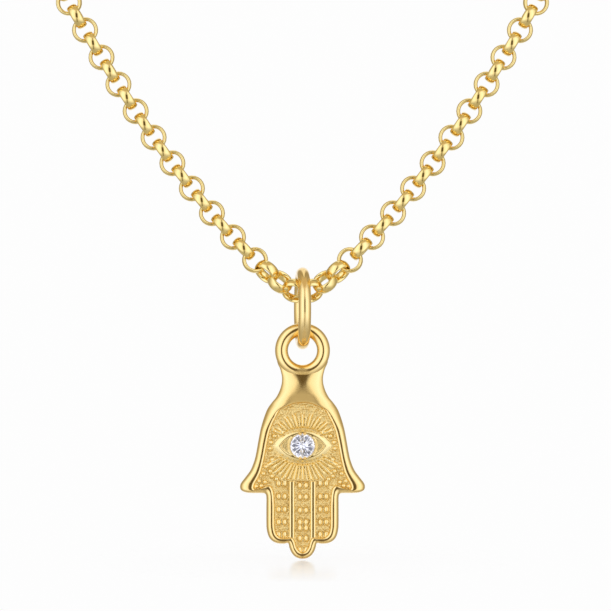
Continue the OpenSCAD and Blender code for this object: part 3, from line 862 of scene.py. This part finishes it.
slots = 1 - ramp(to_slot, *SLOT_EDGE)
print(len(pairs), "pairs of beads and", 2 * len(SIDE_BEADS), "single ones")

# %% Granules
GRANULE_STEP, GRANULE_ROW, GRANULE_SHIFT = 0.27, 0.87, 0.2
GRANULE_H, GRANULE_R, GRANULE_TALL = 0.17, (0.12, 0.17), (0.5, 1)
# Foot and cap in shares of the height, and how far granules reach into the rays
GRANULE_FOOT, GRANULE_CAP, GRANULE_OVER = 0.55, 0.45, 0.1
# Where the granules end: before the lids, and round the beads
LID_MARGIN, BEAD_MARGIN = (-0.15, 0.0), (1.1, 1.4)
rng = np.random.default_rng(8)
granules = np.zeros(X.shape)
for row, y0 in enumerate(np.arange(-HAND_L, -PALM_Y, GRANULE_STEP * GRANULE_ROW)):
    for x0 in np.arange(-GRID_X, GRID_X, GRANULE_STEP) + (row % 2) * GRANULE_STEP / 2:
        x = x0 + rng.uniform(-GRANULE_SHIFT, GRANULE_SHIFT) * GRANULE_STEP
        y = y0 + rng.uniform(-GRANULE_SHIFT, GRANULE_SHIFT) * GRANULE_STEP
        radius, tall = rng.uniform(*GRANULE_R), GRANULE_H * rng.uniform(*GRANULE_TALL)
        spread = abs(math.degrees(math.atan2(x, abs(y + IRIS_Y))))
        fan_r = RAY_R if y > -IRIS_Y else LONG_RAY_R
        past_rays = math.hypot(x, y + IRIS_Y) > fan_r - GRANULE_OVER
        if spread > RAY_SPREAD or past_rays or y < -FINGERS_Y:
            one = blob(np.hypot(X - x, Y - y) / radius, GRANULE_FOOT * tall, GRANULE_CAP * tall)
            granules = np.maximum(granules, one)
granules *= (1 - ramp(in_almond, *LID_MARGIN)) * ramp(to_bead, *BEAD_MARGIN) * (1 - slots)
print(f"granules up to {granules.max():.2f} mm high")

# %% Height and finish of the field
# Height, seed and size of two layers of grain
GRAINS = ((0.016, 3, 0.17), (0.010, 4, 0.09))
# Where the grain ends: at the lids and on other forms
SMOOTH_LIDS, SMOOTH_FORMS = (-0.05, 0.1), (0.05, 0.15)
# A fillet at the wall, where the relief is low
FILLET_H, FILLET_W, FILLET_UNDER = 0.10, 0.25, (0.1, 0.2)
# Polish on forms and lids, and less of it in the hollow
POLISH_FORMS, POLISH_LIDS, GRANULE_POLISH = (0.05, 0.2), (0, 0.1), 0.7
BOWL_MATTE, BOWL_STARTS = 0.6, 0.8
grain = sum(tall * soft_noise(seed, size) for tall, seed, size in GRAINS)
relief = np.maximum.reduce([rays, lids, dividers, sill, beads, granules])
smooth_part = np.maximum(ramp(in_almond, *SMOOTH_LIDS),
                         ramp(np.maximum(dividers, beads), *SMOOTH_FORMS))
height = FIELD_Z + relief + grain * (1 - np.maximum(smooth_part, slots))
height += FILLET_H * (1 - ramp(to_wall, 0, FILLET_W)) * (1 - ramp(relief, *FILLET_UNDER))
raised = np.maximum.reduce([rays, dividers, beads, GRANULE_POLISH * granules, slots])
polish_share = np.maximum(ramp(raised, *POLISH_FORMS), ramp(in_almond, *POLISH_LIDS))
polish_share *= 1 - BOWL_MATTE * ramp(in_almond, lid_w * BOWL_STARTS, lid_w)

# The stone's seat is a cone, with a low collar round it
SEAT_GAP, STONE_RISE, SEAT_DEPTH = 0.05, 0.22, 0.97
COLLAR_R, COLLAR_Z, COLLAR_H = 0.12, 0.16, 0.08
girdle_z = FIELD_Z + STONE_RISE
to_collar = np.abs(from_iris - STONE_R - COLLAR_R)
collar = FIELD_Z + COLLAR_Z + dome(to_collar, COLLAR_R, COLLAR_H)
height = np.maximum(height, np.where(to_collar < COLLAR_R, collar, 0))
seat = girdle_z - SEAT_DEPTH * (1 - from_iris / (STONE_R + SEAT_GAP))
height = np.where(from_iris < STONE_R + SEAT_GAP, np.minimum(height, seat), height)
print(f"relief up to {(height[in_field] - FIELD_Z).max():.2f} mm above the field")

# %% Sheet from the grid
SHEET_BOTTOM = HOLLOW_Z + 0.06
index = np.full(X.shape, -1)
index[in_field] = np.arange(in_field.sum())
quads = index[:-1, :-1], index[:-1, 1:], index[1:, 1:], index[1:, :-1]
whole = np.all([q >= 0 for q in quads], axis=0)
cells = np.column_stack([q[whole] for q in quads])
used, cells = np.unique(cells, return_inverse=True)
cells = cells.reshape(-1, 4)
top = np.column_stack([X[in_field], Y[in_field], height[in_field]])[used]

present = {tuple(e) for e in np.vstack([cells[:, [k, (k + 1) % 4]] for k in range(4)])}
border = {q: p for p, q in present if (q, p) not in present}
first, here = border.popitem()
rim_line = [first]
while here != first:
    rim_line.append(here)
    here = border.pop(here)
sheet = np.vstack([top, top[rim_line] * (1, 1, 0) + (0, 0, SHEET_BOTTOM)])
bottom = range(len(top), len(sheet))
sheet_faces = [tuple(f) for f in cells] + strip(rim_line, bottom) + [tuple(bottom)]
sheet_shine = np.concatenate([polish_share[in_field][used], np.zeros(len(rim_line))])
print("sheet:", len(sheet_faces), "faces, edges left open:", len(border))

# %% [markdown]
# ## One casting
# The body, the sheet, the ring of the eye and the prongs are parts of one casting, so they are
# one piece with two finishes. A point attribute says how far each point was polished. The wheel
# touched the high places of the field, and left its hollows matte. The middle of the shoulder
# and the foot of the eye's ring are satin.

# %% Join, stand up and hang
def hung(points):
    """From the flat drawing of the hand to the hanging charm."""
    x, y, z = np.asarray(points).T
    return np.column_stack([x, FRONT_Y + HAND_T / 2 - z, EYE_Z + y])


def ball(radius, around=16, bands=8):
    """Corners and faces of a ball about the origin."""
    corners = [(0, 0, radius)]
    for a in np.radians(np.linspace(0, 180, bands + 1)[1:-1]):
        for b in np.radians(np.arange(around) * 360 / around):
            corners.append((radius * math.sin(a) * math.cos(b), radius * math.sin(a) * math.sin(b),
                            radius * math.cos(a)))
    corners.append((0, 0, -radius))
    last = len(corners) - 1
    faces = [(0, 1 + i, 1 + (i + 1) % around) for i in range(around)]
    faces += loft(bands - 1, around, 1)
    faces += [(last - around + i, last, last - around + (i + 1) % around) for i in range(around)]
    return np.array(corners), faces


# Satin on the body: where it comes and goes, its soft edges at the sides and how they part below
# a level. Then its ramps down and aside on the eye's ring
SATIN_STARTS, SATIN_ENDS, SATIN_SIDE = (2.9, 4.3), (5.6, 7.0), (0.4, 1.6)
SATIN_WIDENS, SATIN_BELOW, SATIN_POWER = 0.22, 3, 1.5
EYE_SATIN_DOWN, EYE_SATIN_SIDE = (1.75, 2.1), (0.3, 0.9)
PRONG_R, PRONG_TURN, PRONG_TALL, PRONG_RISE = 0.17, 11, 1.6, 0.05

satin_wide = SATIN_WIDENS * np.clip(-body[:, 1] - SATIN_BELOW, 0, FAR) ** SATIN_POWER
body_satin = ramp(-body[:, 1], *SATIN_STARTS) * (1 - ramp(-body[:, 1], *SATIN_ENDS))
body_satin *= 1 - ramp(np.abs(body[:, 0]) - satin_wide, *SATIN_SIDE)
eye, eye_faces = torus(EYE_MID, EYE_WIRE, EYE_AROUND, WIRE_AROUND)
eye = eye + (0, 0, HAND_T / 2)
eye_satin = ramp(-eye[:, 1], *EYE_SATIN_DOWN) * (1 - ramp(np.abs(eye[:, 0]), *EYE_SATIN_SIDE))
# Corners, faces, shine and number of the metal
forms = [(body, body_faces, 1 - body_satin, 0), (eye, eye_faces, 1 - eye_satin, 0),
         (sheet, sheet_faces, sheet_shine, 1)]
for base in (90, 270):
    for side in (-1, 1):
        a = math.radians(base + side * PRONG_TURN)
        prong, prong_faces = ball(PRONG_R)
        prong = prong * (1, 1, PRONG_TALL) + (STONE_R * math.cos(a), STONE_R * math.sin(a) - IRIS_Y,
                                              girdle_z + PRONG_RISE)
        forms.append((prong, prong_faces, np.ones(len(prong)), 0))

corners, faces, shine, metals = [], [], [], []
for form, form_faces, form_shine, metal in forms:
    start = sum(len(c) for c in corners)
    corners.append(form)
    faces += [tuple(v + start for v in f) for f in form_faces]
    shine.append(form_shine)
    metals += [metal] * len(form_faces)
casting = new_piece("hamsa_casting_metal", hung(np.vstack(corners)) * MM, faces)
for metal in (rim_polish, cast):
    casting.data.materials.append(metal)
casting.data.polygons.foreach_set("material_index", metals)
layer = casting.data.attributes.new("shine", "FLOAT", "POINT")
layer.data.foreach_set("value", np.concatenate(shine))
outwards(casting)
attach(casting, "pendant")
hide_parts("hamsa_casting")
print("casting:", triangles(casting), "triangles")

# %% [markdown]
# ## Stone
# The stone is a small round brilliant: the CAD node already has its table and facets, so it only
# needs a material, which is glass with a high index of refraction. Dark wedges round the table,
# broken by a noise, are a painted reflection of the dark front in the facets, and a faint glow is
# a painted sparkle.

# %% Stone material
# The dark colour is a painted reflection of the dark front in the facets, and the glow is a painted
# sparkle
STONE_CLEAR, STONE_PAINTED_REFLECTION = (0.84, 0.84, 0.87, 1), (0.03, 0.03, 0.06, 1)
STONE_IOR, STONE_PAINTED_SPARKLE = 2.1, 0.17
# Half the number of wedges of painted reflection, their turn and cut, and the radii between which
# they lie
WEDGES, WEDGE_TURN, WEDGE_CUT, WEDGE_IN, WEDGE_OUT = 6.5, 0.5, 0.45, 0.22, 0.84
# The noise that breaks the painted reflection, and how dark the painted reflection is
SPOT_SCALE, SPOT_CUT, PAINTED_REFLECTION_STRENGTH = 3200.0, 0.46, 0.95


def clear_stone():
    material, tree, shader, place = new_material("clear_stone")
    x, _, z = split(tree, place)
    z = z - (EYE_Z - IRIS_Y) * MM
    wedge = (z.math("ARCTAN2", x) * WEDGES + WEDGE_TURN).math("SINE").math("ABSOLUTE")
    reach = (x * x + z * z).math("SQRT") * (1 / (STONE_R * MM))
    spot = noise(tree, place, SPOT_SCALE, 1.0)
    # Painted reflection: dark wedges between two radii, broken by a noise
    painted_reflection = wedge.math("GREATER_THAN", WEDGE_CUT) * reach.math("GREATER_THAN", WEDGE_IN)
    painted_reflection = painted_reflection * reach.math("LESS_THAN", WEDGE_OUT) * spot.math("GREATER_THAN", SPOT_CUT)
    facets_and_painted_reflection = two_colours(tree, painted_reflection * PAINTED_REFLECTION_STRENGTH, STONE_CLEAR, STONE_PAINTED_REFLECTION)
    # The emission is a painted sparkle, in the colour that carries the painted reflection
    plug_all(tree, shader, Base_Color=facets_and_painted_reflection, Emission_Color=facets_and_painted_reflection, Emission_Strength=STONE_PAINTED_SPARKLE,
             Roughness=0.0, IOR=STONE_IOR, Transmission_Weight=1.0)
    return material


stone = frame["nodes"]["stone"]
stone.material_slots[0].material = clear_stone()
for name in ("end_ring_right", "end_ring_left", "clasp"):
    frame["nodes"][name].material_slots[0].material = polish
print("finished:", stone.name, "and the pieces at the nape")

# %% [markdown]
# ## Floor and light
# The photograph was taken in a white tent. Polished gold shows what is around it, so the world is
# the tent: bright and slightly cool at the sides, dimmer behind them, with a dim warm roof over
# the front and dim light from below. In front, where the camera looks in, is a dark core with a
# narrow slit above and below it. They draw the thin dark lines along every crest. The camera
# itself sees a white backdrop. The table is a pale glossy oval just below the charm, which
# mirrors it faintly and fades to clear, so that no border shows.

# %% Floor
FLOOR_LEVEL = HAND_BOTTOM - 0.1
FLOOR_WIDE, FLOOR_LONG = 22, 50
# The share that is clear in the middle, and the share and roughness of the gloss
FLOOR_CLEAR, FLOOR_GLOSS, FLOOR_ROUGH = 0.42, 0.85, 0.11
WHITE, PALE, PALE_ROUGH, PALE_GLOW = (1, 1, 1, 1), (0.93, 0.93, 0.93, 1), 0.9, 0.14


def pale_oval():
    material, tree, shader, place = new_material("floor_white")
    plug_all(tree, shader, Base_Color=PALE, Roughness=PALE_ROUGH, Specular_IOR_Level=0.0,
             Emission_Color=WHITE, Emission_Strength=PALE_GLOW)
    x, y, _ = split(tree, place)
    aside = x * (1 / (FLOOR_WIDE * MM))
    ahead = (y - FRONT_Y * MM) * (1 / (FLOOR_LONG * MM))
    away = (aside * aside + ahead * ahead).math("SQRT").math("MINIMUM", 1.0)
    gloss = make_node(tree, "ShaderNodeBsdfGlossy", None, Color=WHITE, Roughness=FLOOR_ROUGH)
    clear = make_node(tree, "ShaderNodeBsdfTransparent")
    table = two_shaders(tree, FLOOR_GLOSS, shader, gloss)
    faded = two_shaders(tree, FLOOR_CLEAR + (1 - FLOOR_CLEAR) * away, table, clear)
    tree.links.new(faded.outputs[0], tree.nodes["Material Output"].inputs["Surface"])
    return material


floor_corners = [(x * FLOOR_WIDE, FRONT_Y + y * FLOOR_LONG, FLOOR_LEVEL)
                 for x, y in ((-1, -1), (1, -1), (1, 1), (-1, 1))]
floor = new_piece("floor", np.array(floor_corners) * MM, [(0, 1, 2, 3)], smooth=False)
floor.data.materials.append(pale_oval())
print(f"floor at {FLOOR_LEVEL:.2f} mm")

# %% Tent
BACKDROP = (0.985, 0.985, 0.985)
GAP_LIGHT = (0.10, 0.068, 0.022, 1)
ROOF_LIGHT, BELOW_LIGHT = (0.64, 0.54, 0.40, 1), (0.50, 0.49, 0.46, 1)
# Degrees and a grey level or colour: round the tent from front to back, and from below upwards
SIDES = [(14, 1.0), (20, (1.15, 1.2, 1.35)), (45, (1.28, 1.38, 1.75)), (68, (1.08, 1.12, 1.25)),
         (86, 0.78), (106, (0.48, 0.44, 0.36)), (155, (0.38, 0.34, 0.26)), (166, BACKDROP)]
CORE_ROUND, CORE_UP = [(9, 1), (14, 0)], [(-16, 0), (-10, 1), (26, 1), (36, 0)]
SLIT_ROUND, SLIT_UP = [(6, 1), (9, 0)], [(-58, 0), (-50, 1), (50, 1), (58, 0)]
ROOF_ROUND, ROOF_UP = [(110, 1), (140, 0)], [(48, 0), (64, 1)]
BELOW_UP = [(-50, 1), (-20, 0)]
CORE_DARK, SLIT_DARK = 0.97, 0.65

world = bpy.data.worlds.new("tent")
world.use_nodes = True
bpy.context.scene.world = world
tree = world.node_tree
tree.nodes.clear()
wx, wy, wz = split(tree, value_of(tree, "Generated", "ShaderNodeTexCoord"))
azimuth = wx.math("ARCTAN2", wy * -1).math("ABSOLUTE") * (1 / math.pi)
lift = wz.math("ARCSINE") * (1 / math.pi) + 0.5


def along_ramp(share, stops):
    """A light that changes with a share."""
    colours = [(place, (*v, 1) if isinstance(v, tuple) else (v, v, v, 1)) for place, v in stops]
    return value_of(tree, "Color", "ShaderNodeValToRGB", {"stops": colours}, Fac=share)


def round_tent(stops):
    return along_ramp(azimuth, [(d / 180, v) for d, v in stops])


def up_tent(stops):
    return along_ramp(lift, [(0.5 + d / 180, v) for d, v in stops])


core = round_tent(CORE_ROUND) * up_tent(CORE_UP)
slit = round_tent(SLIT_ROUND) * up_tent(SLIT_UP)
gap = (core * CORE_DARK).math("MAXIMUM", slit * SLIT_DARK)
light = two_colours(tree, round_tent(ROOF_ROUND) * up_tent(ROOF_UP), round_tent(SIDES), ROOF_LIGHT)
light = two_colours(tree, up_tent(BELOW_UP), light, BELOW_LIGHT)
light = two_colours(tree, gap, light, GAP_LIGHT)
seen = value_of(tree, "Is Camera Ray", "ShaderNodeLightPath")
light = two_colours(tree, seen, light, (*BACKDROP, 1))
background = make_node(tree, "ShaderNodeBackground", None, Color=light, Strength=1.0)
output = make_node(tree, "ShaderNodeOutputWorld")
tree.links.new(background.outputs[0], output.inputs["Surface"])
view = bpy.context.scene.view_settings
view.view_transform, view.look, view.exposure = "Standard", "None", 0.0
print("world:", world.name)
